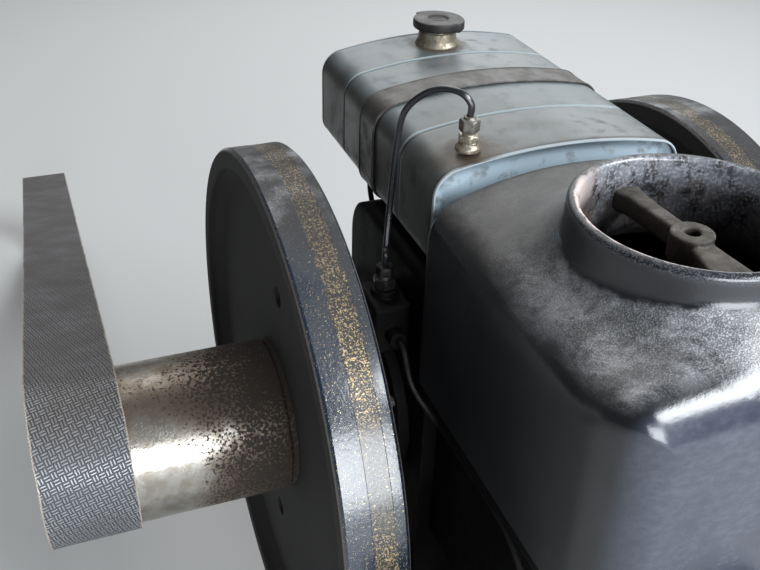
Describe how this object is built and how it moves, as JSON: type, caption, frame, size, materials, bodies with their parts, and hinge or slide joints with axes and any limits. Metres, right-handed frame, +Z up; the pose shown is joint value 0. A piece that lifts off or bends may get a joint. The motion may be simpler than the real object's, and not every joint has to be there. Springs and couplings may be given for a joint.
{
  "type": "stationary diesel engine",
  "caption": "Horizontal hopper-cooled stationary engine with twin flywheels, flat-belt pulley, top-mounted fuel tank and open water hopper on a concrete plinth.",
  "frame": {"origin": "on the floor under the crank axis, midway between the flywheels", "axes": "+X along the crankshaft away from the belt pulley, -Y towards the cylinder head, +Z up"},
  "size_m": [0.8215, 1.8653, 0.8792],
  "materials": {
    "concrete": "rough cast concrete",
    "black_steel": "worn black paint",
    "dull_steel": "dull oily steel",
    "engine_black": "black gloss paint over cast iron, dusty",
    "hopper_black": "black gloss paint over cast iron, dusty on top",
    "rusty_iron": "brown rusty iron",
    "brass": "dirty brass",
    "tank_blue": "blue-grey paint, dusty and worn",
    "strap_steel": "dark brown-black strap",
    "cap_plastic": "dusty black plastic",
    "aluminium": "cast aluminium and steel bowl",
    "worn_steel": "bare worn steel with rust stains",
    "wheel_paint": "dark blue-black paint with a worn band round the rim",
    "belt_rubber": "woven belt with a rubber face"
  },
  "bodies": {
    "engine": {"foundation_block": "concrete", "bearer_rails": "black_steel", "anchor_bolts": "dull_steel", "crankcase": "engine_black", "rear_cover": "engine_black", "left_bearing_housing": "engine_black", "timing_cover": "engine_black", "cylinder_block": "engine_black", "front_foot": "engine_black", "cylinder_head": "engine_black", "rocker_cover": "engine_black", "water_hopper": "hopper_black", "hopper_bridge": "rusty_iron", "hopper_drain_cock": "brass", "tank_shell": "tank_blue", "tank_front_end": "tank_blue", "tank_rear_end": "tank_blue", "tank_strap": "strap_steel", "tank_cradle": "black_steel", "filler_neck": "brass", "return_union": "brass", "fuel_return_pipe": "black_steel", "injection_pump": "engine_black", "pump_union_nuts": "dull_steel", "injector": "dull_steel", "high_pressure_pipe": "black_steel", "fuel_filter": "aluminium", "fuel_feed_pipe": "black_steel", "exhaust_elbow": "rusty_iron", "silencer": "rusty_iron", "intake_elbow": "engine_black", "air_cleaner": "engine_black", "speed_lever": "dull_steel", "oil_filler": "engine_black", "drain_plug": "dull_steel", "drive_belt": "belt_rubber"},
    "crank_assembly": {"crankshaft": "worn_steel", "left_flywheel": "wheel_paint", "right_flywheel": "wheel_paint", "belt_pulley": "worn_steel"},
    "tank_cap": {"filler_cap": "cap_plastic"}
  },
  "joints": [
    {"name": "crankshaft_spin", "type": "hinge", "parent": "engine", "child": "crank_assembly", "pos_m": [0, 0, 0.48], "axis": [1, 0, 0], "continuous": true},
    {"name": "filler_cap_turn", "type": "hinge", "parent": "engine", "child": "tank_cap", "pos_m": [-0.003, 0.18, 0.8266], "axis": [0, 0, 1], "range_deg": [0, 80]}
  ]
}
